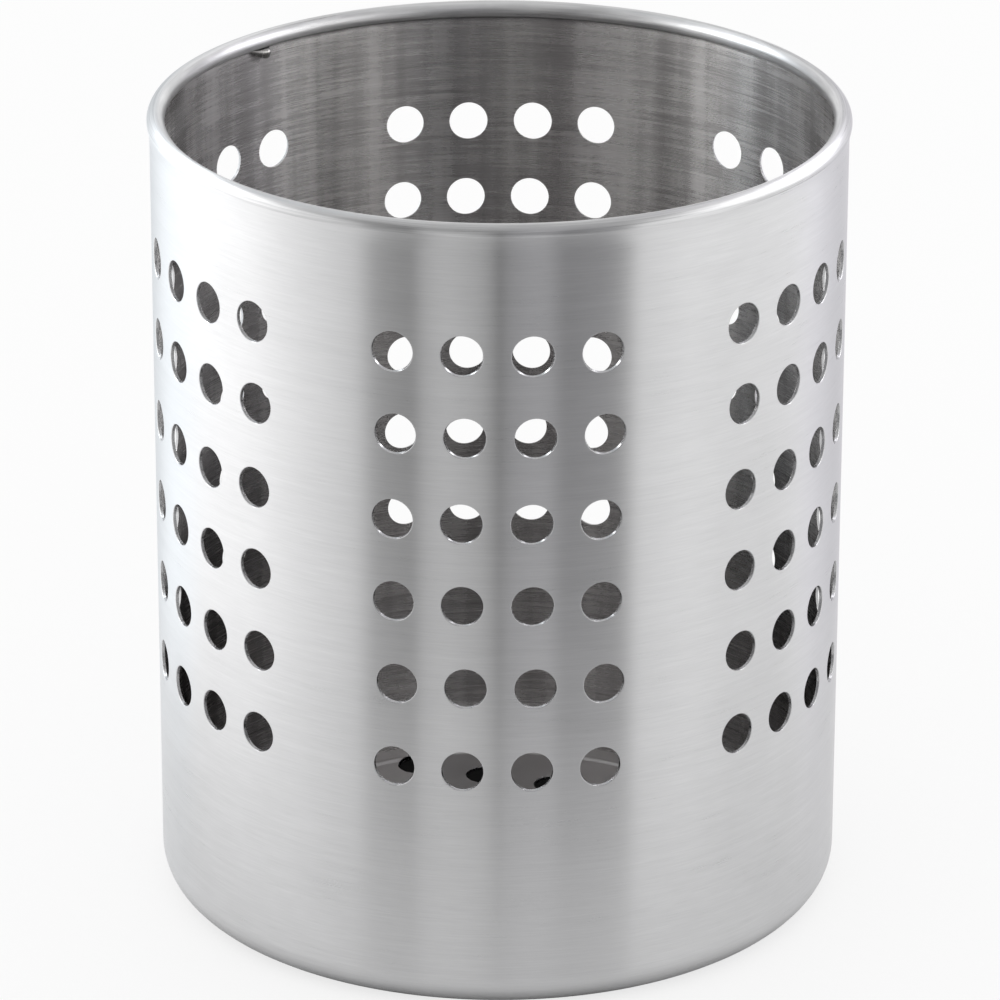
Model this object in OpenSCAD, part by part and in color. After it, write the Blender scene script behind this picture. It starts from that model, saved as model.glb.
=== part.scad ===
// Free-standing cutlery holder in brushed sheet steel.
// A perforated wall is rolled into a tube, closed by a seam weld and curled
// inwards at its mouth. A pressed pan with drain holes is butt welded below it.
// The origin is the middle of the underside. +Z points out of the mouth and
// -Y is the front. Turns are counted from the front towards +X.

/* [Body] */
// Outside diameter of the wall
body_d = 120; // [100:1:160]
// Overall height, from the table to the top of the rim
body_h = 143.2; // [130:0.2:200]
// Thickness of the steel sheet
sheet_t = 0.6; // [0.4:0.05:0.8]

/* [Rim] */
// Outside diameter of the round curl at the mouth
curl_d = 3.1; // [2:0.1:4]
// How far the curl stands proud of the wall's outside
curl_proud = 0.45; // [0.1:0.05:0.6]
// Gap between the curled edge and the wall's inside
curl_gap = 0.2; // [0.1:0.05:0.4]

/* [Side holes] */
// Diameter of each hole in the wall
hole_d = 7; // [4:0.5:9]
// Groups of holes round the wall
hole_groups = 6; // [3:1:8]
// Columns of holes in a group
group_cols = 4; // [2:1:5]
// Rows of holes in a group
group_rows = 6; // [2:1:7]
// Distance between columns, measured round the wall's outside
col_pitch = 11.8; // [10:0.1:13]
// Distance between rows
row_pitch = 15; // [11:0.5:17]
// From the top of the rim down to the middle of the top row
top_row_drop = 22.9; // [16:0.1:30]

/* [Base pan] */
// Outside radius of the rounded bottom corner
corner_r = 6.5; // [3:0.5:9]
// Straight lip of the pan above the corner
pan_lip_h = 1.5; // [1:0.5:4]
// From the edge of the flat floor in to the middle of the stiffening bead
bead_inset = 7.7; // [4:0.1:14]
// Width of the stiffening bead
bead_w = 1.9; // [1.5:0.1:3]
// Height of the stiffening bead above the floor
bead_h = 0.35; // [0.2:0.05:0.6]

/* [Drain holes] */
// Diameter of each drain hole
drain_d = 7; // [3:0.5:9]
// Distance between drain holes, along and across the square grid
drain_pitch = 13.2; // [11:0.2:18]
// Least distance from a drain hole's middle to the middle of the bead
drain_inset = 3; // [2:0.5:10]
// Turn of the drain grid about the vertical axis
drain_turn = -18; // [-45:1:45]

/* [Welds] */
// Width of the seam weld that closes the rolled wall
seam_w = 0.8; // [0.5:0.1:2]
// Height of the weld between the wall and the pan
base_weld_h = 0.5; // [0.3:0.1:1]
// Width of the weld's root on the inside
root_w = 1.6; // [1:0.1:2.4]
// How far the weld's root stands in from the wall's inside
root_proud = 0.1; // [0.1:0.05:0.4]
// Diameter of the largest bead of the tack under the curl
tack_d = 2.2; // [1.2:0.1:2.6]
// Turn from the front towards +X at which the tack starts
tack_turn = -132.5; // [-180:0.5:180]

/* [Hidden] */
$fn = 96;

// Punching drift of the six rows, counted from the top, as shares of a hole
row_lift_shares = [0, 0.07, 0.025, 0.05, 0.05, 0.01];
row_shift_shares = [-0.03, 0.04, -0.04, -0.02, 0.06, -0.015];
// Facets round the wall where the small tack is fitted to it
fine_facets = 240;

// Beads of the tack weld: how large each is, as a share of the largest one
tack_bead_shares = [0.55, 0.8, 1, 0.85];
// How far apart the tack's beads lie, as a share of the largest one
tack_step_share = 0.42;
// How far a bead's middle lies from the wall and the curl, as a share of its radius
tack_seat_share = 0.85;

// One overrun for every cut
cut_over = 1;

body_r = body_d / 2;
inner_r = body_r - sheet_t;
flat_r = body_r - corner_r;
pan_h = corner_r + pan_lip_h;
wall_z = pan_h + base_weld_h;
curl_r = body_r + curl_proud - curl_d / 2;
curl_z = body_h - curl_d / 2;
curl_low_z = body_h - curl_d;
top_row_z = body_h - top_row_drop;
group_turn = 360 / hole_groups;
col_turn = 360 * col_pitch / (PI * body_d);
seam_turn = -group_turn * (floor(hole_groups / 2) - 1 / 2);
bead_r = flat_r - bead_inset;
bead_arc_r = arc_radius(bead_w, bead_h);
bead_arc_z = sheet_t + bead_h - bead_arc_r;
root_arc_r = arc_radius(root_w, root_proud);
drain_field_r = bead_r - drain_inset;
drain_reach = ceil(drain_field_r / drain_pitch);
drain_places = [
    for (i = [-drain_reach:drain_reach], j = [-drain_reach:drain_reach])
        let (place = [i, j + 1 / 2] * drain_pitch)
            if (norm(place) <= drain_field_r) place
];

// Radius of the arc that stands height above a chord of the given width
function arc_radius(width, height) = (pow(width / 2, 2) + pow(height, 2)) / (2 * height);

// A row's entry in a table of drifts, which starts again after its last row
function row_share(shares, row) = shares[row % len(shares)];

// Puts children, made along the front direction, at a turn round the holder
module at_turn(turn) {
    rotate([0, 0, turn]) children();
}

// Section of the rolled wall, with the hollow curl at its top
module wall_section() {
    difference() {
        union() {
            translate([inner_r, wall_z]) square([sheet_t, curl_z - wall_z]);
            translate([curl_r, curl_z]) circle(d = curl_d);
        }
        translate([curl_r, curl_z]) circle(d = curl_d - 2 * sheet_t);
        translate([inner_r - curl_gap, curl_low_z - cut_over])
            square([curl_gap, curl_z - curl_low_z + cut_over]);
    }
}

module wall_solid() {
    rotate_extrude() wall_section();
}

// Slot that the seam weld fills, through the wall and the curl
module seam_slot() {
    at_turn(seam_turn)
        translate([-seam_w / 2, -body_r - curl_proud - cut_over, wall_z - cut_over])
            cube([seam_w, curl_d + 2 * cut_over, body_h - wall_z + 2 * cut_over]);
}

// One punched hole, through the wall at the front
module side_hole() {
    rotate([90, 0, 0])
        translate([0, 0, inner_r - cut_over])
            cylinder(d = hole_d, h = sheet_t + 2 * cut_over);
}

module side_holes() {
    for (group = [0:hole_groups - 1], col = [0:group_cols - 1], row = [0:group_rows - 1]) {
        shift = row_share(row_shift_shares, row) * hole_d;
        lift = row_share(row_lift_shares, row) * hole_d;
        turn = group * group_turn + (col - (group_cols - 1) / 2) * col_turn;
        at_turn(turn + 360 * shift / (PI * body_d))
            translate([0, 0, top_row_z - row * row_pitch + lift]) side_hole();
    }
}

// Outline of a round vessel's inside or outside, from its axis to its wall
module vessel_section(radius, floor_z, corner, top_z) {
    intersection() {
        translate([0, floor_z]) square([radius, top_z - floor_z]);
        union() {
            translate([0, floor_z]) square([radius - corner, top_z - floor_z]);
            translate([0, floor_z + corner]) square([radius, top_z - floor_z - corner]);
            translate([radius - corner, floor_z + corner]) circle(r = corner);
        }
    }
}

module pan_section() {
    difference() {
        union() {
            difference() {
                vessel_section(body_r, 0, corner_r, pan_h);
                vessel_section(inner_r, sheet_t, corner_r - sheet_t, pan_h + cut_over);
            }
            translate([bead_r, bead_arc_z]) circle(r = bead_arc_r);
        }
        translate([bead_r, bead_arc_z]) circle(r = bead_arc_r - sheet_t);
        translate([0, -body_r]) square([body_r, body_r]);
    }
}

module drain_holes() {
    rotate([0, 0, drain_turn])
        for (place = drain_places)
            translate([place[0], place[1], -cut_over])
                cylinder(d = drain_d, h = sheet_t + bead_h + 2 * cut_over);
}

// Section of the ring of weld metal: the butt between the sheets and its root
module base_weld_section() {
    translate([inner_r, pan_h]) square([sheet_t, base_weld_h]);
    intersection() {
        translate([inner_r + root_arc_r - root_proud, pan_h + base_weld_h / 2])
            circle(r = root_arc_r);
        translate([inner_r - root_proud, pan_h + base_weld_h / 2 - root_w / 2])
            square([root_proud, root_w]);
    }
}

module side_wall() {
    color("silver")
        difference() {
            wall_solid();
            side_holes();
            seam_slot();
        }
}

module base_pan() {
    color("lightgray")
        difference() {
            rotate_extrude() pan_section();
            drain_holes();
        }
}

module seam_weld() {
    color("gainsboro")
        intersection() {
            wall_solid();
            seam_slot();
        }
}

module base_weld() {
    color("gainsboro") rotate_extrude() base_weld_section();
}

// A short run of weld beads in the corner between the wall and the curl
module rim_tack_weld() {
    step_turn = 360 * tack_step_share * tack_d / (PI * body_d);
    color("darkgray")
        difference() {
            for (bead = [0:len(tack_bead_shares) - 1]) {
                bead_d = tack_bead_shares[bead] * tack_d;
                seat = bead_d / 2 * tack_seat_share;
                at_turn(tack_turn - bead * step_turn)
                    translate([0, seat - inner_r, curl_low_z - seat]) sphere(d = bead_d);
            }
            wall_solid($fn = fine_facets);
        }
}

side_wall();
base_pan();
seam_weld();
base_weld();
rim_tack_weld();
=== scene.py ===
"""The looks of a brushed steel cutlery holder: its pieces, finishes, studio and camera."""

import math

import bmesh
import bpy
import numpy as np
from mathutils import Matrix
from mathutils.geometry import delaunay_2d_cdt


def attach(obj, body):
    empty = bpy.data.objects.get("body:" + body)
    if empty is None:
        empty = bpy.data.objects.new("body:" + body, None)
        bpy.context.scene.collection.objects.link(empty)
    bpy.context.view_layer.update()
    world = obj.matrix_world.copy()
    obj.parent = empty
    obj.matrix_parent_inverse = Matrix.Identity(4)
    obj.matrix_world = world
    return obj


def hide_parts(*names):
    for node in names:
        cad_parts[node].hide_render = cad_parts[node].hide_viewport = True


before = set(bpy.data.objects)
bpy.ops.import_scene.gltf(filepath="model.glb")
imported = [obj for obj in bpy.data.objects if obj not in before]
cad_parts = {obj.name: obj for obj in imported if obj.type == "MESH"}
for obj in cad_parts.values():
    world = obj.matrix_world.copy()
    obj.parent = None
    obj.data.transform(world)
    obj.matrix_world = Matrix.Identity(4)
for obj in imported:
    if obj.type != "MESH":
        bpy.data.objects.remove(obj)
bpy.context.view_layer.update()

MM = 0.001
DEGREE = math.pi / 180

# The holder, with the same sizes as the CAD model
BODY_R = 60 * MM
BODY_H = 143.2 * MM
SHEET_T = 0.6 * MM
INNER_R = BODY_R - SHEET_T
MIDDLE_R = BODY_R - SHEET_T / 2
CURL_R = 1.55 * MM
CURL_PROUD = 0.45 * MM
CURL_GAP = 0.2 * MM
CURL_MIDDLE_R = BODY_R + CURL_PROUD - CURL_R
CURL_MIDDLE_Z = BODY_H - CURL_R
HOLE_R = 3.5 * MM
GROUPS, COLS, ROWS = 6, 4, 6
GROUP_TURN = 360 * DEGREE / GROUPS
COL_TURN = 11.8 * MM / BODY_R
ROW_PITCH = 15 * MM
TOP_ROW_Z = BODY_H - 22.9 * MM
ROW_LIFT_SHARES = (0, 0.07, 0.025, 0.05, 0.05, 0.01)
ROW_SHIFT_SHARES = (-0.03, 0.04, -0.04, -0.02, 0.06, -0.015)
PAN_H = 8 * MM
CORNER_R = 6.5 * MM
FLAT_R = BODY_R - CORNER_R
WALL_Z = 8.5 * MM
BEAD_MIDDLE_R = FLAT_R - 7.7 * MM
BEAD_H = 0.35 * MM
BEAD_REACH = 1.15 * MM
DRAIN_R = 3.5 * MM
DRAIN_PITCH = 13.2 * MM
DRAIN_FIELD_R = BEAD_MIDDLE_R - 3 * MM
DRAIN_TURN = -18 * DEGREE
SEAM_TURN = -150 * DEGREE
SEAM_HALF = 0.4 * MM / BODY_R
ROOT_H = 1.6 * MM
ROOT_PROUD = 0.1 * MM
TACK_R = 1.1 * MM
TACK_LENGTH = 4.4 * MM
TACK_TURN = -135.6 * DEGREE
# How far the tack's middle lies from the wall and the curl, as a share of its radius there
TACK_SEAT_SHARE = 0.85
# How far along it the tack is thickest, and how quickly it thins out after that
TACK_PEAK = 0.22
TACK_TAPER = 1.5
# The thin end keeps the seat of this share of the tack's radius
TACK_THIN_SHARE = 0.3
# The steepest slope that the tack's normals follow
TACK_STEEPEST = 4

# How finely the meshes follow the shapes: steps up the wall below, across and above the holes
LOW_STEPS = 8
CELL_STEPS = 10
TOP_STEPS = 5
# Steps of the bend below the curl, of the curl, and round a band between two groups of holes
BEND_STEPS = 8
CURL_STEPS = 28
BAND_STEPS = 12
# Steps across the seam, up the base weld's root, round the pan, its corner, bead and drain holes
SEAM_STEPS = 4
ROOT_STEPS = 8
RING_STEPS = 320
ARC_STEPS = 12
BEAD_STEPS = 10
DRAIN_STEPS = 40
# Steps along the tack, and round it
TACK_STEPS = 24
# Where the rings round a side hole lie, from the border of its cell to the hole
RING_SHARES = (0, 0.45, 0.8, 1)
# Points closer than this become one
MERGE_STEP = 0.0002 * MM
# Room round a drain hole that the net of the bead leaves free
NET_GAP = 0.2 * MM
# How closely the floor's net keeps its edges, in millimetres
NET_TOLERANCE = 1e-5

# Roundings that punching leaves on the outer and inner edges of the holes
PUNCH_ROUND = 0.14 * MM
BURR_ROUND = 0.07 * MM
# How much wider than its middle a side hole is outside, where the punch broke out of the sheet
BREAKOUT = 0.05 * MM
# Depth of the middle of a rounded edge below both of its faces, as a share of its radius
SLANT = 1 - math.sqrt(1 / 2)
# Radius of the wall's outward bend below the curl
BEND_R = 12 * MM

# The camera, found from the hole centres and the outline in the photograph
CAMERA_PLACE = (0, -1020.50 * MM, 491.88 * MM)
CAMERA_YAW = 0.0145 * DEGREE
CAMERA_PITCH = 22.4475 * DEGREE
CAMERA_ROLL = 0.150 * DEGREE
CAMERA_LENS = 226.18
SENSOR_WIDTH = 36
CAMERA_REACH = 20


def polar(turn, radius, z):
    """Points at turns from the front towards +X, at radii from the axis and at heights."""
    turn, radius, z = np.broadcast_arrays(turn, radius, z)
    return np.stack([radius * np.sin(turn), -radius * np.cos(turn), z], axis=-1)


class Shell:
    """Collects the points, normals and faces of one piece."""

    def __init__(self):
        self.points, self.normals = [], []
        self.faces, self.finishes = [], []
        self.count = 0

    def add(self, points, normals):
        """Adds points and their normals, and returns their numbers in the same layout."""
        points, normals = np.broadcast_arrays(points, normals)
        layout = points.shape[:-1]
        size = int(np.prod(layout))
        numbers = self.count + np.arange(size).reshape(layout)
        self.points.append(points.reshape(-1, 3))
        self.normals.append(normals.reshape(-1, 3))
        self.count += size
        return numbers

    def quads(self, numbers, keep=None, finish=0):
        """Joins a grid of points, or the steps of it that keep marks, with four-sided faces."""
        corners = [numbers[:-1, :-1], numbers[1:, :-1], numbers[1:, 1:], numbers[:-1, 1:]]
        made = np.stack(corners, axis=-1)
        made = made[keep] if keep is not None else made.reshape(-1, 4)
        self.faces += made.tolist()
        self.finishes += [finish] * len(made)

    def triangles(self, made, finish=0):
        """Adds three-sided faces, given by their points' numbers."""
        self.faces += np.asarray(made).tolist()
        self.finishes += [finish] * len(made)

    def build(self, name, materials):
        """Makes the object, with points that coincide made one and every face turned outwards."""
        points, normals = np.concatenate(self.points), np.concatenate(self.normals)
        places = np.round(points / MERGE_STEP).astype(np.int64)
        _, first, merged = np.unique(places, axis=0, return_index=True, return_inverse=True)
        merged = merged.reshape(-1)
        faces, finishes = [], []
        for face, finish in zip(self.faces, self.finishes):
            corners = list(dict.fromkeys(merged[face].tolist()))
            if len(corners) > 2:
                faces.append(corners)
                finishes.append(finish)
        mesh = bpy.data.meshes.new(name)
        mesh.from_pydata(points[first], [], faces)
        for material in materials:
            mesh.materials.append(material)
        mesh.polygons.foreach_set("material_index", finishes)
        turned = bmesh.new()
        turned.from_mesh(mesh)
        bmesh.ops.recalc_face_normals(turned, faces=turned.faces)
        turned.to_mesh(mesh)
        turned.free()
        mesh.shade_smooth()
        mesh.normals_split_custom_set_from_vertices(normals[first])
        piece = bpy.data.objects.new(name, mesh)
        bpy.context.scene.collection.objects.link(piece)
        return piece


def place_piece(piece, slot, *nodes):
    """Puts a finished piece on the holder's one body, in place of its CAD nodes."""
    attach(piece, "root")
    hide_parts(*nodes)
    return piece


def wall_section():
    """Middle line of the wall's sheet from its lower edge to the curl's end, with its normals.

    Also gives the steps between which the holes lie, and the step where the rim starts.
    """
    low = TOP_ROW_Z - (ROWS - 1 / 2) * ROW_PITCH
    high = TOP_ROW_Z + ROW_PITCH / 2
    across = MIDDLE_R + BEND_R - CURL_MIDDLE_R
    between = BEND_R + CURL_R - SHEET_T / 2
    rise = math.sqrt(between ** 2 - across ** 2)
    bend_z = CURL_MIDDLE_Z - rise
    meet = math.atan2(rise, across)
    plain = np.concatenate([
        np.linspace(WALL_Z, low, LOW_STEPS + 1)[:-1],
        np.linspace(low, high, ROWS * CELL_STEPS + 1),
        np.linspace(high, bend_z, TOP_STEPS + 1)[1:],
    ])
    line = [(MIDDLE_R, z) for z in plain]
    normals = [(1, 0)] * len(plain)
    for angle in np.linspace(0, meet, BEND_STEPS + 1)[1:]:
        line.append((MIDDLE_R + BEND_R - BEND_R * math.cos(angle),
                     bend_z + BEND_R * math.sin(angle)))
        normals.append((math.cos(angle), -math.sin(angle)))
    end = 270 * DEGREE + math.asin((INNER_R - CURL_GAP - CURL_MIDDLE_R) / CURL_R)
    curl_line_r = CURL_R - SHEET_T / 2
    for angle in np.linspace(-meet, end, CURL_STEPS + 1)[1:]:
        line.append((CURL_MIDDLE_R + curl_line_r * math.cos(angle),
                     CURL_MIDDLE_Z + curl_line_r * math.sin(angle)))
        normals.append((math.cos(angle), math.sin(angle)))
    marks = (LOW_STEPS, LOW_STEPS + ROWS * CELL_STEPS, len(plain) - 1 + BEND_STEPS)
    return np.array(line), np.array(normals), marks


def wall_turns():
    """Turns of the wall's columns of points, from one side of the seam round to the other.

    Also marks which steps lie in a group of holes.
    """
    half_group = COLS / 2 * COL_TURN
    turns = [SEAM_TURN + SEAM_HALF]
    in_group = []
    for group in range(GROUPS):
        middle = SEAM_TURN + (group + 1 / 2) * GROUP_TURN
        steps = BAND_STEPS // 2 if group == 0 else BAND_STEPS
        turns += list(np.linspace(turns[-1], middle - half_group, steps + 1)[1:])
        in_group += [False] * steps
        turns += list(np.linspace(turns[-1], middle + half_group, COLS * CELL_STEPS + 1)[1:])
        in_group += [True] * COLS * CELL_STEPS
    steps = BAND_STEPS // 2
    turns += list(np.linspace(turns[-1], SEAM_TURN - SEAM_HALF + 2 * math.pi, steps + 1)[1:])
    in_group += [False] * steps
    return np.array(turns), np.array(in_group)


def swept(shell, turns, line, normals, offset, side):
    """Sweeps one face of a sheet round the axis: its middle line, moved along the normals."""
    face = line + normals * offset
    points = polar(turns[:, None], face[:, 0], face[:, 1])
    facing = polar(turns[:, None], normals[:, 0] * side, normals[:, 1] * side)
    return shell.add(points, facing)


def sheet_of_section(shell, turns, line, normals, rim, keep=None, finishes=(0, 1, 3)):
    """Adds both faces of a sheet that is swept round the axis, and closes all its edges.

    The outer face has a finish of its own from the rim's first step on.
    """
    outer = swept(shell, turns, line, normals, SHEET_T / 2, 1)
    inner = swept(shell, turns, line, normals, -SHEET_T / 2, -1)
    below = keep[:, :rim] if keep is not None else None
    shell.quads(outer[:, :rim + 1], below, finishes[0])
    shell.quads(outer[:, rim:], None, finishes[2])
    shell.quads(inner, keep, finishes[1])
    for edge in (0, -1):
        shell.quads(np.stack([outer[:, edge], inner[:, edge]]), None, finishes[0])
        shell.quads(np.stack([outer[edge], inner[edge]]), None, finishes[0])


def cell_border():
    """Places round the border of a hole's cell, as shares of its half sizes, from a corner on."""
    along = np.linspace(-1, 1, CELL_STEPS + 1)[:-1]
    one = np.ones(CELL_STEPS)
    sides = [(along, -one), (one, along), (-along, one), (-one, -along)]
    return np.concatenate([np.stack(side, axis=-1) for side in sides])


def wall_hole(shell, turn, z, shift, lift):
    """One punched hole and the square of sheet round it, on both faces of the wall.

    The hole widens a little from the inside to the outside.
    """
    border = cell_border()
    steps = len(border)
    angles = (-135 + 360 / steps * np.arange(steps)) * DEGREE
    hole_turn, hole_z = turn + shift / BODY_R, z + lift
    axis = polar(hole_turn, 1, 0)
    aside = polar(hole_turn + 90 * DEGREE, 1, 0)
    up = np.array([0, 0, 1])
    outwards = np.cos(angles)[:, None] * aside + np.sin(angles)[:, None] * up

    def on_face(share, ring_r, face_r, side):
        """A ring on one face of the wall, between the cell's border and the hole."""
        x, rise = ring_r * np.cos(angles), ring_r * np.sin(angles)
        ring_turn = hole_turn + np.arcsin(x / face_r)
        turns = turn + border[:, 0] * COL_TURN / 2
        heights = z + border[:, 1] * ROW_PITCH / 2
        turns += share * (ring_turn - turns)
        heights = heights + share * (hole_z + rise - heights)
        return shell.add(polar(turns, face_r, heights), polar(turns, side, 0))

    def in_bore(ring_r, face_r, depth, tilt):
        """A ring in the hole, at a depth from one face, whose normals tilt outwards."""
        x = ring_r * np.cos(angles)
        reach = np.sqrt(face_r ** 2 - x ** 2) + depth
        points = reach[:, None] * axis + ring_r * outwards + up * hole_z
        facing = math.sin(tilt) * axis - math.cos(tilt) * outwards
        return shell.add(points, facing)

    wide_r, narrow_r = HOLE_R + BREAKOUT, HOLE_R - BREAKOUT
    taper = math.atan2(2 * BREAKOUT, SHEET_T - PUNCH_ROUND - BURR_ROUND)
    outside = [on_face(share, wide_r + PUNCH_ROUND, BODY_R, 1) for share in RING_SHARES]
    inside = [on_face(share, narrow_r + BURR_ROUND, INNER_R, -1) for share in RING_SHARES[::-1]]
    bore = [
        outside[-1],
        in_bore(wide_r + SLANT * PUNCH_ROUND, BODY_R, -SLANT * PUNCH_ROUND, 45 * DEGREE),
        in_bore(wide_r, BODY_R, -PUNCH_ROUND, taper),
        in_bore(narrow_r, INNER_R, BURR_ROUND, taper),
        in_bore(narrow_r + SLANT * BURR_ROUND, INNER_R, SLANT * BURR_ROUND, -45 * DEGREE),
        inside[0],
    ]
    for rings, finish in ((outside + bore[1:3], 0), (bore[2:4], 2), (bore[3:5] + inside, 1)):
        rings = np.stack(rings)
        shell.quads(np.concatenate([rings, rings[:, :1]], axis=1), None, finish)


def make_side_wall(materials):
    """The perforated wall: one sheet, rolled into a tube and curled inwards at the mouth."""
    line, normals, (low, high, rim) = wall_section()
    turns, in_group = wall_turns()
    steps = np.arange(len(line) - 1)
    with_holes = (steps >= low) & (steps < high)
    shell = Shell()
    sheet_of_section(shell, turns, line, normals, rim, ~(in_group[:, None] & with_holes))
    for group in range(GROUPS):
        for col in range(COLS):
            turn = SEAM_TURN + (group + 1 / 2) * GROUP_TURN + (col - (COLS - 1) / 2) * COL_TURN
            for row in range(ROWS):
                shift = ROW_SHIFT_SHARES[row] * 2 * HOLE_R
                lift = ROW_LIFT_SHARES[row] * 2 * HOLE_R
                wall_hole(shell, turn, TOP_ROW_Z - row * ROW_PITCH, shift, lift)
    return shell.build("perforated_wall", materials)


def make_seam_weld(materials):
    """The weld that closes the rolled wall, dressed flush from the lower edge round the curl."""
    line, normals, (_, _, rim) = wall_section()
    turns = np.linspace(SEAM_TURN - SEAM_HALF, SEAM_TURN + SEAM_HALF, SEAM_STEPS + 1)
    shell = Shell()
    sheet_of_section(shell, turns, line, normals, rim, None, (0, 1, 2))
    return shell.build("wall_seam", materials)


def bead_height(radius):
    """How far the stiffening bead lifts the pan's floor at a radius, and its slope there."""
    phase = np.clip((radius - BEAD_MIDDLE_R) / BEAD_REACH, -1, 1) * math.pi
    slope = -BEAD_H / 2 * np.sin(phase) * math.pi / BEAD_REACH
    return BEAD_H / 2 * (1 + np.cos(phase)), slope


def drain_places():
    """Middles of the drain holes: a square grid with its rows half a pitch off the axis."""
    reach = math.ceil(DRAIN_FIELD_R / DRAIN_PITCH)
    places = []
    for i in range(-reach, reach + 1):
        for j in range(-reach, reach + 1):
            x, y = i * DRAIN_PITCH, (j + 1 / 2) * DRAIN_PITCH
            if math.hypot(x, y) <= DRAIN_FIELD_R:
                places.append((x * math.cos(DRAIN_TURN) - y * math.sin(DRAIN_TURN),
                               x * math.sin(DRAIN_TURN) + y * math.cos(DRAIN_TURN)))
    return np.array(places)


def floor_point(shell, flat, side, drop=0, tilt=None):
    """Adds points on one face of the pan's floor, or at a drop into the sheet round a drain hole.

    The tilt, if any, is the floor normal's share and the vector to take from it.
    """
    radius = np.hypot(flat[:, 0], flat[:, 1])
    height, slope = bead_height(radius)
    z = height + (SHEET_T if side > 0 else 0) - side * drop
    lean = -slope / np.maximum(radius, MM)
    facing = np.stack([flat[:, 0] * lean, flat[:, 1] * lean, np.ones(len(flat))], axis=-1) * side
    facing /= np.linalg.norm(facing, axis=1)[:, None]
    if tilt is not None:
        facing = facing * tilt[0] - tilt[1]
    return shell.add(np.column_stack([flat, z]), facing)


def floor_triangles(join_r, holes):
    """The flat net of the pan's floor inside join_r, with the drain holes cut out of it."""
    turns = np.arange(RING_STEPS) * 360 * DEGREE / RING_STEPS
    flat = [polar(turns, join_r, 0)[:, :2]]
    edges = [(i, (i + 1) % RING_STEPS) for i in range(RING_STEPS)]
    places = drain_places()
    clear = DRAIN_R + PUNCH_ROUND + NET_GAP
    for offset in np.linspace(-BEAD_REACH, BEAD_REACH, BEAD_STEPS + 1):
        ring = polar(turns, BEAD_MIDDLE_R + offset, 0)[:, :2]
        apart = np.linalg.norm(ring[:, None] - places, axis=2).min(axis=1)
        flat.append(ring[apart > clear])
    count = sum(len(part) for part in flat)
    for hole in holes:
        edges += [(count + i, count + (i + 1) % len(hole)) for i in range(len(hole))]
        flat.append(hole)
        count += len(hole)
    flat = np.concatenate(flat)
    points, _, faces, origins, _, _ = delaunay_2d_cdt(
        [tuple(point) for point in flat / MM], edges, [], 0, NET_TOLERANCE)
    found = np.array([flat[origin[0]] if origin else np.array(point) * MM
                      for point, origin in zip(points, origins)])
    faces = np.array(faces)
    middles = found[faces].mean(axis=1)
    apart = np.linalg.norm(middles[:, None] - places, axis=2).min(axis=1)
    return found, faces[apart > DRAIN_R + PUNCH_ROUND / 2]


def make_base_pan(materials):
    """The pressed pan: rounded corner, lip, stiffening bead and drain holes with rounded edges."""
    shell = Shell()
    join_r = (BEAD_MIDDLE_R + BEAD_REACH + FLAT_R) / 2
    round_r = CORNER_R - SHEET_T / 2
    line = [(join_r, SHEET_T / 2), (FLAT_R, SHEET_T / 2)]
    normals = [(0, -1), (0, -1)]
    for angle in np.linspace(0, 90 * DEGREE, ARC_STEPS + 1)[1:]:
        line.append((FLAT_R + round_r * math.sin(angle), CORNER_R - round_r * math.cos(angle)))
        normals.append((math.sin(angle), -math.cos(angle)))
    line.append((MIDDLE_R, PAN_H))
    normals.append((1, 0))
    line, normals = np.array(line), np.array(normals)
    turns = np.arange(RING_STEPS + 1) * 360 * DEGREE / RING_STEPS
    outer = swept(shell, turns, line, normals, SHEET_T / 2, 1)
    inner = swept(shell, turns, line, normals, -SHEET_T / 2, -1)
    shell.quads(outer, None, 0)
    shell.quads(inner, None, 1)
    shell.quads(np.stack([outer[:, -1], inner[:, -1]]), None, 0)

    angles = np.arange(DRAIN_STEPS) * 360 * DEGREE / DRAIN_STEPS
    around = np.stack([np.cos(angles), np.sin(angles)], axis=-1)
    outwards = np.column_stack([around, np.zeros(DRAIN_STEPS)])
    rims = [place + (DRAIN_R + PUNCH_ROUND) * around for place in drain_places()]
    flat, faces = floor_triangles(join_r, rims)
    for side, finish in ((1, 3), (-1, 4)):
        numbers = floor_point(shell, flat, side)
        shell.triangles(numbers[faces], finish)
    for place in drain_places():
        rings = []
        for side in (1, -1):
            half = [
                floor_point(shell, place + (DRAIN_R + PUNCH_ROUND) * around, side),
                floor_point(shell, place + (DRAIN_R + SLANT * PUNCH_ROUND) * around, side,
                            SLANT * PUNCH_ROUND, (math.sqrt(1 / 2), math.sqrt(1 / 2) * outwards)),
                floor_point(shell, place + DRAIN_R * around, side, PUNCH_ROUND, (0, outwards)),
            ]
            rings += half if side > 0 else half[::-1]
        rings = np.stack(rings)
        shell.quads(np.concatenate([rings, rings[:, :1]], axis=1), None, 2)
    return shell.build("drain_pan", materials)


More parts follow.
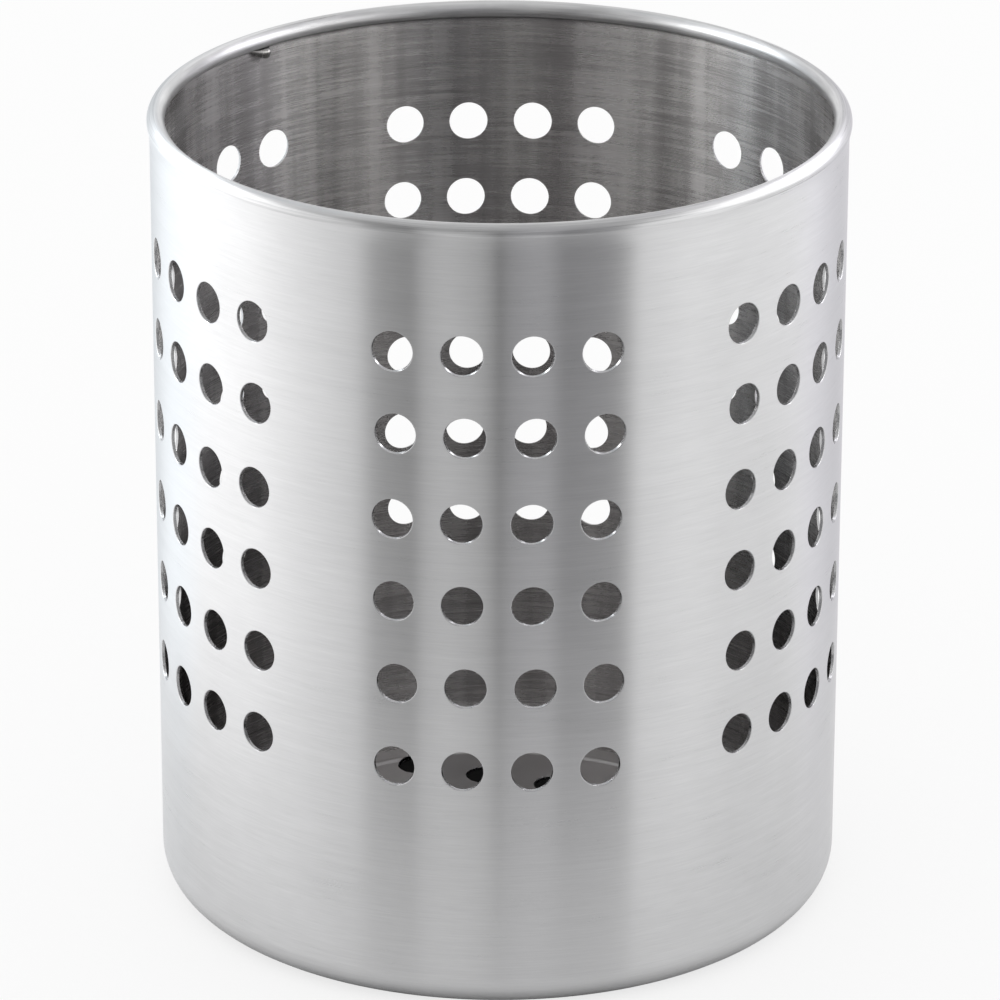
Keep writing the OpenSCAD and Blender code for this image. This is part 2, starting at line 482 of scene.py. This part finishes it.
def make_base_weld(materials):
    """The ring of weld between wall and pan: dressed flush outside, with a low root inside."""
    middle_z = (PAN_H + WALL_Z) / 2
    section = [(BODY_R, PAN_H, 1, 0), (BODY_R, WALL_Z, 1, 0), (INNER_R, WALL_Z, -1, 0)]
    for share in np.linspace(1, -1, ROOT_STEPS + 1):
        bulge = ROOT_PROUD * math.cos(share * 90 * DEGREE)
        lean = math.sin(share * 90 * DEGREE) * ROOT_PROUD / ROOT_H * math.pi
        section.append((INNER_R - bulge, middle_z + share * ROOT_H / 2, -1, lean))
    section += [(INNER_R, PAN_H, -1, 0), section[0]]
    section = np.array(section)
    turns = np.arange(RING_STEPS + 1) * 360 * DEGREE / RING_STEPS
    shell = Shell()
    points = polar(turns[:, None], section[:, 0], section[:, 1])
    facing = polar(turns[:, None], section[:, 2], section[:, 3])
    numbers = shell.add(points, facing)
    shell.quads(numbers[:, :2], None, 0)
    shell.quads(numbers[:, 1:], None, 1)
    return shell.build("base_weld_ring", materials)


def make_rim_tack(materials):
    """The small drop of weld metal in the corner under the curl, thick at one end."""
    along = np.linspace(0, 1, TACK_STEPS + 1)
    thick = TACK_R * np.sqrt(np.clip(1 - (1 - along / TACK_PEAK) ** 2, 0, 1))
    past = np.clip(along - TACK_PEAK, 0, None) / (1 - TACK_PEAK)
    taper = TACK_R * (1 - past ** TACK_TAPER)
    radius = np.where(along < TACK_PEAK, thick, np.clip(taper, 0, None))
    seat = np.maximum(radius, TACK_R * TACK_THIN_SHARE) * TACK_SEAT_SHARE
    turns = TACK_TURN + along * TACK_LENGTH / INNER_R
    angles = np.arange(TACK_STEPS + 1) * 360 * DEGREE / TACK_STEPS
    reach = INNER_R - seat[:, None] + radius[:, None] * np.cos(angles)
    height = BODY_H - 2 * CURL_R - seat[:, None] + radius[:, None] * np.sin(angles)
    points = polar(turns[:, None], reach, height)
    steepness = np.gradient(radius, along * TACK_LENGTH)
    steepness = np.clip(steepness, -TACK_STEEPEST, TACK_STEEPEST)[:, None]
    facing = polar(turns[:, None], np.cos(angles), np.sin(angles))
    facing = facing - steepness[..., None] * polar(turns[:, None] + 90 * DEGREE, 1, 0)
    facing /= np.linalg.norm(facing, axis=-1)[..., None]
    shell = Shell()
    shell.quads(shell.add(points, facing))
    return shell.build("rim_tack", materials)


# Sockets of a Mix node that mixes colours
COLOUR_A, COLOUR_B, COLOUR_OUT = 6, 7, 2


def linked(tree, kind, inputs=(), **settings):
    """Adds a shader node with its settings, and fills its inputs with values or other outputs."""
    node = tree.nodes.new(kind)
    for name, value in settings.items():
        setattr(node, name, value)
    for name, value in dict(inputs).items():
        if isinstance(value, bpy.types.NodeSocket):
            tree.links.new(value, node.inputs[name])
        else:
            node.inputs[name].default_value = value
    return node


def math_node(tree, operation, *values):
    """The result of a calculation with values or other outputs."""
    node = linked(tree, "ShaderNodeMath", enumerate(values), operation=operation)
    return node.outputs[0]


def new_material(name):
    """A material without nodes, and its node tree."""
    material = bpy.data.materials.new(name)
    material.use_nodes = True
    material.node_tree.nodes.clear()
    return material, material.node_tree


def object_place(tree):
    """A point's X, Y and Z in the holder's frame, and its distance from the axis."""
    place = linked(tree, "ShaderNodeTexCoord").outputs["Object"]
    parts = linked(tree, "ShaderNodeSeparateXYZ", {0: place}).outputs
    flat = linked(tree, "ShaderNodeCombineXYZ", {"X": parts["X"], "Y": parts["Y"]}).outputs[0]
    radius = linked(tree, "ShaderNodeVectorMath", {0: flat}, operation="LENGTH").outputs["Value"]
    return parts["X"], parts["Y"], parts["Z"], radius


def grain_noise(tree, round_scale, across_scale, detail, roughness=0.6, offset=0):
    """Streaks that run round the holder's axis, long one way and thin across, from 0 to 1.

    Their path across the sheet follows it down round the pan's corner and up round the curl.
    """
    x, y, z, radius = object_place(tree)
    turned = spread(tree, z, BODY_H / 3, BODY_H * 2 / 3, 1, -1)
    path = math_node(tree, "MULTIPLY_ADD", math_node(tree, "SUBTRACT", radius, BODY_R), turned, z)
    vector = linked(tree, "ShaderNodeCombineXYZ", {
        "X": math_node(tree, "MULTIPLY", x, round_scale),
        "Y": math_node(tree, "MULTIPLY", y, round_scale),
        "Z": math_node(tree, "MULTIPLY_ADD", path, across_scale, offset)}).outputs[0]
    noise = linked(tree, "ShaderNodeTexNoise",
                   {"Vector": vector, "Scale": 1.0, "Detail": detail, "Roughness": roughness})
    return noise.outputs["Fac"]


def upright_noise(tree, round_scale, up_scale, detail=2.0):
    """Soft upright bands, as left by the rolls that bent the sheet, from 0 to 1."""
    x, y, z, _ = object_place(tree)
    vector = linked(tree, "ShaderNodeCombineXYZ", {
        "X": math_node(tree, "MULTIPLY", x, round_scale),
        "Y": math_node(tree, "MULTIPLY", y, round_scale),
        "Z": math_node(tree, "MULTIPLY", z, up_scale)}).outputs[0]
    noise = linked(tree, "ShaderNodeTexNoise",
                   {"Vector": vector, "Scale": 1.0, "Detail": detail, "Roughness": 0.5})
    return noise.outputs["Fac"]


def cloud_noise(tree, scale, detail=2.0):
    """Soft patches of no direction, from 0 to 1."""
    place = linked(tree, "ShaderNodeTexCoord").outputs["Object"]
    noise = linked(tree, "ShaderNodeTexNoise",
                   {"Vector": place, "Scale": scale, "Detail": detail, "Roughness": 0.5})
    return noise.outputs["Fac"]


def spread(tree, value, low, high, to_low, to_high):
    """Maps a value from one range to another, held at its ends."""
    node = linked(tree, "ShaderNodeMapRange", {
        "Value": value, "From Min": low, "From Max": high, "To Min": to_low, "To Max": to_high})
    return node.outputs["Result"]


def steel_shader(tree, colour, roughness, normal, anisotropic, turned=True):
    """The metal itself: bright, with highlights stretched across the brushing."""
    inputs = {"Base Color": colour, "Metallic": 1.0, "Roughness": roughness, "Normal": normal,
              "Anisotropic": anisotropic, "Anisotropic Rotation": 0.25 if turned else 0.0}
    tangent = linked(tree, "ShaderNodeTangent", direction_type="RADIAL", axis="Z").outputs[0]
    inputs["Tangent"] = tangent
    shader = linked(tree, "ShaderNodeBsdfPrincipled", inputs)
    linked(tree, "ShaderNodeOutputMaterial", {"Surface": shader.outputs[0]})
    return shader


def mixed_colour(tree, share, dark, light):
    """A colour between a dark and a light one, by a share from 0 to 1."""
    node = linked(tree, "ShaderNodeMix", {"Factor": share}, data_type="RGBA")
    node.inputs[COLOUR_A].default_value = (*dark, 1)
    node.inputs[COLOUR_B].default_value = (*light, 1)
    return node.outputs[COLOUR_OUT]


def bumped(tree, depth, height):
    """The surface's normal, with dents as deep as the given depth."""
    inputs = {"Strength": 1.0, "Distance": depth, "Height": height}
    return linked(tree, "ShaderNodeBump", inputs).outputs[0]


def weighed(tree, *parts):
    """The sum of values, each times its weight."""
    total = 0.0
    for value, weight in parts:
        total = math_node(tree, "MULTIPLY_ADD", value, weight, total)
    return total


def shaded(tree, colour, share):
    """A colour made darker by a share from 0 to 1, for painted shade."""
    grey = linked(tree, "ShaderNodeCombineColor", {0: share, 1: share, 2: share}).outputs[0]
    node = linked(tree, "ShaderNodeMix", {"Factor": 1.0, COLOUR_A: colour, COLOUR_B: grey},
                  data_type="RGBA", blend_type="MULTIPLY")
    return node.outputs[COLOUR_OUT]


# Scales of the brushing that all the brushed steel shares: fine and broad lines across the
# brushing, upright bands round the holder and up it, and faint clouds
FINE_ACROSS = 5200
BROAD_ACROSS = 700
BAND_SCALES = (240, 9)
CLOUD_SCALE = 70


def brushed_steel(name, dark, light, rough, streak_depth, contrast, scales, weights, shade=None):
    """Sheet steel brushed round the holder.

    The scales are those of the brushed lines, along and across them. The weights are those of the
    lines, of finer and of broader ones, of upright bands and of faint clouds. The shade, if any, is
    a function that gives a painted shade from 0 to 1,
    by which the colour is darkened.
    """
    material, tree = new_material(name)
    along, across = scales
    lines = grain_noise(tree, along, across, 4, 0.75, offset=7)
    fine = grain_noise(tree, 2 * along, FINE_ACROSS, 3, 0.65)
    broad = grain_noise(tree, along / 4, BROAD_ACROSS, 3, offset=31)
    bands = upright_noise(tree, *BAND_SCALES)
    cloud = cloud_noise(tree, CLOUD_SCALE)
    tone = weighed(tree, *zip((lines, fine, broad, bands, cloud), weights))
    share = spread(tree, tone, 0.5 - contrast, 0.5 + contrast, 0, 1)
    colour = mixed_colour(tree, share, dark, light)
    if shade:
        # The shade function's painted shade darkens the colour here
        colour = shaded(tree, colour, shade(tree))
    roughness = spread(tree, tone, 0.3, 0.7, rough[0], rough[1])
    height = weighed(tree, (fine, 1.0), (lines, 1.0), (broad, 1.5))
    steel_shader(tree, colour, roughness, bumped(tree, streak_depth, height), 1.0)
    return material


def painted_shade_under_curl(tree):
    """Painted shade on the wall's inside, from 1 down to 0.25 in the corner below the curl."""
    _, _, z, _ = object_place(tree)
    low = BODY_H - 2 * CURL_R
    return spread(tree, z, low - 0.9 * MM, low - 0.1 * MM, 1, 0.25)


def painted_shade_on_curl(tree):
    """Painted shade on the curl: dark where it turns down towards the wall's inside."""
    _, _, z, radius = object_place(tree)
    low = BODY_H - 2 * CURL_R
    height = spread(tree, z, low + 0.15 * MM, low + 0.75 * MM, 0.25, 1)
    outside = spread(tree, radius, INNER_R - 0.3 * MM, INNER_R + 0.2 * MM, 0, 1)
    return math_node(tree, "MAXIMUM", height, outside)


def painted_shade_on_corner(tree):
    """Painted shade on the pan's outside: darker towards the underside of its corner."""
    _, _, z, _ = object_place(tree)
    return spread(tree, z, 0.4 * MM, 1.6 * MM, 0.4, 1)


def cut_steel(name):
    """A hole's sheared edge: faintly mottled and darker than the sheet, partly as painted shade."""
    material, tree = new_material(name)
    cloud = cloud_noise(tree, 2500, 3)
    # The darker colour is partly painted shade inside the hole
    colour = mixed_colour(tree, cloud, (0.32, 0.32, 0.325), (0.54, 0.54, 0.545))
    roughness = spread(tree, cloud, 0.3, 0.7, 0.2, 0.34)
    steel_shader(tree, colour, roughness, bumped(tree, 0.003 * MM, cloud), 0.0)
    return material


def pressed_steel(name):
    """The pan's flat floor: satin sheet with short scuffs in all directions."""
    material, tree = new_material(name)
    cloud = cloud_noise(tree, 120, 4)
    fine = cloud_noise(tree, 3500, 2)
    colour = mixed_colour(tree, cloud, (0.60, 0.59, 0.59), (0.72, 0.71, 0.71))
    roughness = spread(tree, cloud, 0.3, 0.7, 0.34, 0.44)
    steel_shader(tree, colour, roughness, bumped(tree, 0.003 * MM, fine), 0.0)
    return material


def weld_steel(name, dark, light):
    """Weld metal: glossy, mottled and slightly dimpled."""
    material, tree = new_material(name)
    cloud = cloud_noise(tree, 900, 3)
    colour = mixed_colour(tree, cloud, dark, light)
    roughness = spread(tree, cloud, 0.3, 0.7, 0.18, 0.34)
    steel_shader(tree, colour, roughness, bumped(tree, 0.03 * MM, cloud), 0.0)
    return material


def make_holder():
    """Makes the finishes and all the holder's pieces, each in place of its CAD node."""
    outer = dict(dark=(0.53, 0.53, 0.535), light=(0.66, 0.66, 0.665), rough=(0.26, 0.32),
                 streak_depth=0.005 * MM, contrast=0.2, scales=(90, 2200),
                 weights=(0.3, 0.3, 0.2, 0, 0.2))
    edge = dict(outer, dark=(0.42, 0.42, 0.425), light=(0.74, 0.74, 0.745), contrast=0.12,
                scales=(25, 1500), weights=(0.6, 0.25, 0.1, 0, 0.05))
    inner = dict(dark=(0.265, 0.256, 0.254), light=(0.66, 0.645, 0.64), rough=(0.22, 0.32),
                 streak_depth=0.005 * MM, contrast=0.14, scales=(45, 1500),
                 weights=(0.33, 0.27, 0.05, 0.3, 0.05))
    outside = brushed_steel("brushed_outside", **outer)
    # The rim, the pan's corner and the inside are darkened by painted shade
    rim = brushed_steel("brushed_rim", shade=painted_shade_on_curl, **edge)
    corner = brushed_steel("brushed_corner", shade=painted_shade_on_corner, **outer)
    inside = brushed_steel("brushed_inside", shade=painted_shade_under_curl, **inner)
    cut = cut_steel("cut_edge")
    floor = pressed_steel("pressed_floor")
    weld = weld_steel("raw_weld_metal", (0.12, 0.115, 0.11), (0.50, 0.49, 0.48))
    place_piece(make_side_wall([outside, inside, cut, rim]), "wall_steel", "side_wall")
    place_piece(make_seam_weld([outside, inside, rim]), "dressed_weld", "seam_weld")
    place_piece(make_base_pan([corner, inside, cut, floor, floor]), "pan_steel", "base_pan")
    place_piece(make_base_weld([outside, inside]), "dressed_weld", "base_weld")
    place_piece(make_rim_tack([weld]), "raw_weld", "rim_tack_weld")


# The studio's soft walls, which only reflections see: brightness by azimuth in degrees from the
# front towards +X. The low cards light the outside of the holder, the high ones light its inside
# through the mouth, and the top ones light its rim.
STUDIO_R = 150 * MM
STUDIO_STEPS = 720
LOW_HEIGHTS = (0, 170 * MM)
HIGH_HEIGHTS = (205 * MM, 225 * MM)
TOP_HEIGHTS = (255 * MM, 500 * MM)
LOW_CARDS = (
    (-180, 1.4), (-165, 0.9), (-150, 0.85), (-135, 1), (-118, 1.6), (-100, 1.7), (-75, 1.6),
    (-60, 1.35), (-45, 1.1), (-38, 0.95), (-33, 0.5), (-22, 0.35), (-20, 0.65), (-14, 0.75),
    (-5, 0.6), (-1, 0.4), (0, 0.15), (2, 0.4), (9, 0.5), (13, 0.5), (17, 0.3), (31, 0.4),
    (34, 0.55), (37, 1.05), (52, 1.2), (65, 1.1), (82, 1.1), (100, 1.2), (125, 0.85),
    (150, 0.85), (165, 0.9), (180, 1.4),
)
HIGH_CARDS = (
    (-180, 1.1), (-145, 1), (-128, 5), (-110, 9), (-90, 6), (-68, 1.7), (-54, 0.45), (-40, 0.15),
    (-28, 0.3), (-18, 0.6), (0, 0.4), (18, 0.6), (30, 0.7), (48, 1), (58, 2.4), (80, 4.6),
    (105, 6), (125, 4.6), (145, 1), (180, 1.1),
)
TOP_CARDS = (
    (-180, 1), (-150, 0.9), (-90, 0.9), (-60, 0.8), (-40, 0.5), (40, 0.5), (60, 0.8), (90, 0.9),
    (150, 0.9), (180, 1),
)
# The studio's faint colours, by azimuth
WHITE, COOL, LILAC, PALE_LILAC = (1, 1, 1), (0.96, 1, 1.03), (1.01, 1, 1.04), (1, 0.995, 1.02)
CARD_TINTS = (
    (-180, WHITE), (-165, WHITE), (-150, COOL), (-106, COOL), (-96, WHITE), (0, WHITE),
    (4, PALE_LILAC), (28, PALE_LILAC), (34, WHITE), (94, WHITE), (104, LILAC), (150, LILAC),
    (165, WHITE), (180, WHITE),
)


def card_light(azimuths, cards):
    """The colour and strength of the studio's light at azimuths in degrees."""
    glow = np.interp(azimuths, *zip(*cards))
    places, tints = zip(*CARD_TINTS)
    tint = [np.interp(azimuths, places, channel) for channel in zip(*tints)]
    return glow[:, None] * np.stack(tint, axis=-1)


def make_studio_walls():
    """Soft walls round the holder, which only its reflections see."""
    azimuths = np.arange(STUDIO_STEPS) * 360 / STUDIO_STEPS - 180
    tiers = ((LOW_CARDS, LOW_HEIGHTS), (HIGH_CARDS, HIGH_HEIGHTS), (TOP_CARDS, TOP_HEIGHTS))
    rings = [(cards, height) for cards, heights in tiers for height in heights]
    points = np.concatenate([polar(azimuths * DEGREE, STUDIO_R, height) for _, height in rings])
    light = np.concatenate([card_light(azimuths, cards) for cards, _ in rings])
    faces = []
    for ring in range(len(rings) - 1):
        low, high = ring * STUDIO_STEPS, (ring + 1) * STUDIO_STEPS
        for step in range(STUDIO_STEPS):
            after = (step + 1) % STUDIO_STEPS
            faces.append((low + step, low + after, high + after, high + step))
    mesh = bpy.data.meshes.new("studio_walls")
    mesh.from_pydata(points.tolist(), [], faces)
    glow = mesh.attributes.new("card_light", "FLOAT_VECTOR", "POINT")
    glow.data.foreach_set("vector", light.reshape(-1))
    walls = bpy.data.objects.new("studio_walls", mesh)
    bpy.context.scene.collection.objects.link(walls)
    material, tree = new_material("studio_wall_light")
    colour = linked(tree, "ShaderNodeAttribute", attribute_name="card_light").outputs["Vector"]
    shine = linked(tree, "ShaderNodeEmission", {"Color": colour, "Strength": 1.0})
    linked(tree, "ShaderNodeOutputMaterial", {"Surface": shine.outputs[0]})
    mesh.materials.append(material)
    for name in ("visible_camera", "visible_diffuse", "visible_transmission", "visible_shadow",
                 "visible_volume_scatter"):
        setattr(walls, name, False)


def background_share(tree):
    """1 for rays that should see the plain background, and 0 for those that carry its light."""
    path = linked(tree, "ShaderNodeLightPath").outputs
    seen = math_node(tree, "MAXIMUM", path["Is Camera Ray"], path["Is Glossy Ray"])
    return math_node(tree, "MAXIMUM", seen, path["Is Transmission Ray"])


# The floor's grey and the white added to it, for reflections and for the camera
FLOOR_SIZE = 6
FLOOR_COLOUR = 0.5
FLOOR_LIFT = 0.45
SEEN_COLOUR = 0.22
SEEN_LIFT = 0.76
# Painted deep shadow on the floor: under the holder's foot it is painted dark for all rays, and
# in reflections the floor is painted dark at the base, brightening from one radius to the other
FOOT_R = 54.8 * MM
SHADOW_R = 57.5 * MM
CLEAR_R = 62.5 * MM
SHADOW_COLOUR = 0.02


def make_floor():
    """A plain pale floor, white away from the holder, with its soft shadow and a painted deep one.
    """
    mesh = bpy.data.meshes.new("studio_floor")
    half = FLOOR_SIZE / 2
    corners = [(-half, -half, 0), (half, -half, 0), (half, half, 0), (-half, half, 0)]
    mesh.from_pydata(corners, [], [(0, 1, 2, 3)])
    floor = bpy.data.objects.new("studio_floor", mesh)
    bpy.context.scene.collection.objects.link(floor)
    material, tree = new_material("floor_paper")
    radius = object_place(tree)[3]
    open_share = spread(tree, radius, FOOT_R - MM, FOOT_R, 0, 1)
    camera = linked(tree, "ShaderNodeLightPath").outputs["Is Camera Ray"]
    colour = spread(tree, camera, 0, 1, FLOOR_COLOUR, SEEN_COLOUR)
    # Painted shadow: the floor is painted near black under the holder's foot
    tone = spread(tree, open_share, 0, 1, SHADOW_COLOUR, colour)
    paper = linked(tree, "ShaderNodeBsdfDiffuse", {"Color": tone}).outputs[0]
    # Painted shadow in reflections: the floor's white lift fades out towards the base
    reflected = spread(tree, radius, SHADOW_R, CLEAR_R, 0, 1)
    clear = math_node(tree, "MAXIMUM", reflected, math_node(tree, "MULTIPLY", camera, open_share))
    share = math_node(tree, "MULTIPLY", background_share(tree), clear)
    lift = math_node(tree, "MULTIPLY", share, spread(tree, camera, 0, 1, FLOOR_LIFT, SEEN_LIFT))
    glow = linked(tree, "ShaderNodeEmission", {"Strength": lift}).outputs[0]
    both = linked(tree, "ShaderNodeAddShader", {0: paper, 1: glow}).outputs[0]
    linked(tree, "ShaderNodeOutputMaterial", {"Surface": both})
    mesh.materials.append(material)


# The studio air's light on the holder and the floor, and the white that is seen
AIR_LIGHT = 1.25
AIR_WHITE = 1.0


def make_world():
    """Even light from all sides, and a white background."""
    world = bpy.data.worlds.new("studio_air")
    world.use_nodes = True
    tree = world.node_tree
    tree.nodes.clear()
    strength = spread(tree, background_share(tree), 0, 1, AIR_LIGHT, AIR_WHITE)
    air = linked(tree, "ShaderNodeBackground", {"Strength": strength}).outputs[0]
    linked(tree, "ShaderNodeOutputWorld", {"Surface": air})
    bpy.context.scene.world = world


def make_camera():
    """The camera at the photograph's place, turned by its yaw, pitch and roll."""
    yaw, pitch, roll = CAMERA_YAW, CAMERA_PITCH, CAMERA_ROLL
    ahead = np.array([math.sin(yaw) * math.cos(pitch), math.cos(yaw) * math.cos(pitch),
                      -math.sin(pitch)])
    level = np.array([math.cos(yaw), -math.sin(yaw), 0])
    above = np.cross(level, ahead)
    right = math.cos(roll) * level + math.sin(roll) * above
    up = -math.sin(roll) * level + math.cos(roll) * above
    data = bpy.data.cameras.new("photo_camera")
    data.lens = CAMERA_LENS
    data.sensor_width = SENSOR_WIDTH
    data.clip_end = CAMERA_REACH
    camera = bpy.data.objects.new("photo_camera", data)
    bpy.context.scene.collection.objects.link(camera)
    turned = np.eye(4)
    turned[:3, :3] = np.column_stack([right, up, -ahead])
    turned[:3, 3] = CAMERA_PLACE
    camera.matrix_world = Matrix(turned.tolist())
    bpy.context.scene.camera = camera


bpy.context.scene.view_settings.view_transform = "Standard"
make_camera()
make_world()
make_floor()
make_studio_walls()
make_holder()
